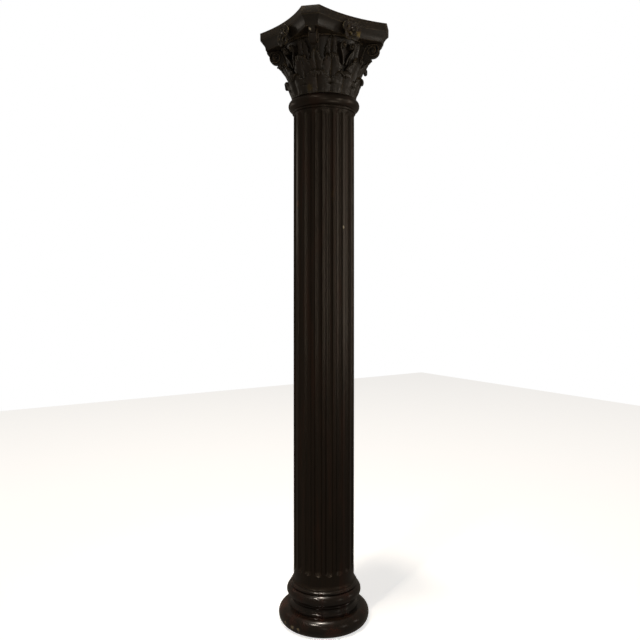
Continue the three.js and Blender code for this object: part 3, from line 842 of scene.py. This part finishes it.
# Each ring: its name, its number of petals, the turn of the first and the sizes of one petal
for name, copies, turn, sizes in [
    ("outer_petals", 5, 90, dict(inner=4, outer=42, half_width=22, foot=2, rise=9, droop=4, thickness=4)),
    ("inner_petals", 5, 126, dict(inner=3, outer=24, half_width=13, foot=8, rise=7, droop=3, thickness=4)),
]:
    ring = petal_piece(name, **sizes)
    run_tree(
        ring, copy_tree, copies=copies, first_turn=math.radians(turn), uneven=0.03, seed=3, wood=flower_wood,
    )
    flower_parts.append(ring)
core = [(10, 0.0), (11, 6), (9, 11), (8.5, 14), (7, 16.6), (4, 18.2), (1.5, 18.6)]
flower_parts.append(ringed_piece("button", lathe_rings(core, 40)))
flower = joined_piece("flower", flower_parts)

# %% Set a flower on each face
# The flower's back bows with the hollow side of the board, and its front stays flat.
flower_out, flower_up, flower_depth, twice_bend = 187, 2385.4, 19, 1180
for side, name in enumerate(["front", "right", "back", "left"]):
    local = np.array([v.co / MM for v in flower.data.vertices])
    bowed = local[:, 0] ** 2 / twice_bend * (1 - np.clip(local[:, 2] / flower_depth, 0, 1))
    out = flower_out + np.maximum(local[:, 2], 0.2) + bowed
    placed = np.stack([*turned(local[:, 0], -out, side * math.pi / 2), flower_up + local[:, 1]], axis=1)
    blossom = new_piece("flower_" + name, placed, [list(face.vertices) for face in flower.data.polygons])
    dress(blossom, flower_wood, "flower_wood", "fleuron_" + name)
bpy.data.objects.remove(flower)

# %% [markdown]
# ## Floor and light
# The floor and the world are pale and plain. The column is so dark that a white world would turn it grey,
# so the world is white only to the camera, and dim where it lights the wood or is mirrored in it.
# Most of the light falls from a soft box high above and a little to the left, as from a ceiling.
# It draws the bright arcs on the base's rolls and lights the leaf tips that lean out.
# Tall strips at both sides draw thin light lines down the fillets between the flutes.
# A narrow lamp high on the left adds the second gleam on the foot, and a low one opens the hollows.

# %% Floor
half_floor = 6
corners = [(x * half_floor, y * half_floor, 0) for x, y in ((-1, -1), (1, -1), (1, 1), (-1, 1))]
floor_mesh = bpy.data.meshes.new("floor")
floor_mesh.from_pydata(corners, [], [(0, 1, 2, 3)])
floor = bpy.data.objects.new("floor", floor_mesh)
bpy.context.scene.collection.objects.link(floor)
floor_material = bpy.data.materials.new("pale_floor")
floor_material.use_nodes = True
floor_look = floor_material.node_tree.nodes["Principled BSDF"].inputs
floor_look["Base Color"].default_value = linear("#f4f3f0")
floor_look["Roughness"].default_value = 0.9
floor_look["Emission Color"].default_value = linear("#ffffff")
floor_look["Emission Strength"].default_value = 0.7
floor_mesh.materials.append(floor_material)
# The pale floor would turn the undersides of the dark wood grey, so it lights nothing
floor.visible_glossy = False
floor.visible_diffuse = False

# %% World
sky_as_light, sky_as_seen = 0.125, 1.0
world = bpy.data.worlds.new("pale_world")
world.use_nodes = True
bpy.context.scene.world = world
tree = world.node_tree
tree.nodes.clear()
seen = add(tree, "ShaderNodeLightPath").outputs["Is Camera Ray"]
strength = add(tree, "ShaderNodeMapRange", _0=seen, _3=sky_as_light, _4=sky_as_seen).outputs[0]
hue = add(
    tree, "ShaderNodeMix", {"data_type": "RGBA"}, _0=seen, _6=linear("#fff0dc"), _7=linear("#ffffff"),
).outputs[2]
sky = add(tree, "ShaderNodeBackground", Color=hue, Strength=strength).outputs[0]
add(tree, "ShaderNodeOutputWorld", Surface=sky)
bpy.context.scene.view_settings.view_transform = "Standard"

# %% Lamps
# Each lamp: turn from the lens, distance from the axis, height, height aimed at, width, length, spread, watts
lamp_colour = linear("#fff4e6")[:3]
for name, turn, out, height, target, width, length, spread, power in [
    ("ceiling_softbox", -38, 1.15, 9.2, 0.0, 0.85, 0.68, 120, 118),
    ("high_left_spot", -33, 4.0, 6.2, 0.1, 0.5, 0.5, 24, 1.8),
    ("front_strip", 2, 3.3, 1.85, 1.85, 0.12, 2.1, 56, 0.5),
    ("near_right_strip", 50, 3.2, 1.85, 1.85, 0.3, 2.1, 56, 0.85),
    ("right_strip", 86, 2.8, 1.85, 1.85, 0.3, 2.1, 56, 0.95),
    ("back_left_strip", -119, 2.8, 2.2, 2.1, 0.5, 0.9, 80, 0.4),
    ("low_fill", 40, 1.7, 0.4, 2.35, 1.2, 0.8, 60, 0.5),
]:
    lamp_data = bpy.data.lights.new(name, "AREA")
    lamp_data.shape = "RECTANGLE"
    lamp_data.size = width
    lamp_data.size_y = length
    lamp_data.spread = math.radians(spread)
    lamp_data.energy = power
    lamp_data.color = lamp_colour
    lamp = bpy.data.objects.new(name, lamp_data)
    swing = math.radians(turn)
    level = towards_camera * math.cos(swing) * out + camera_right * math.sin(swing) * out
    lamp.location = level + Vector((0, 0, height))
    lamp.rotation_euler = (Vector((0, 0, target)) - lamp.location).to_track_quat("-Z", "Y").to_euler()
    bpy.context.scene.collection.objects.link(lamp)
    print(name, [round(v, 2) for v in lamp.location])
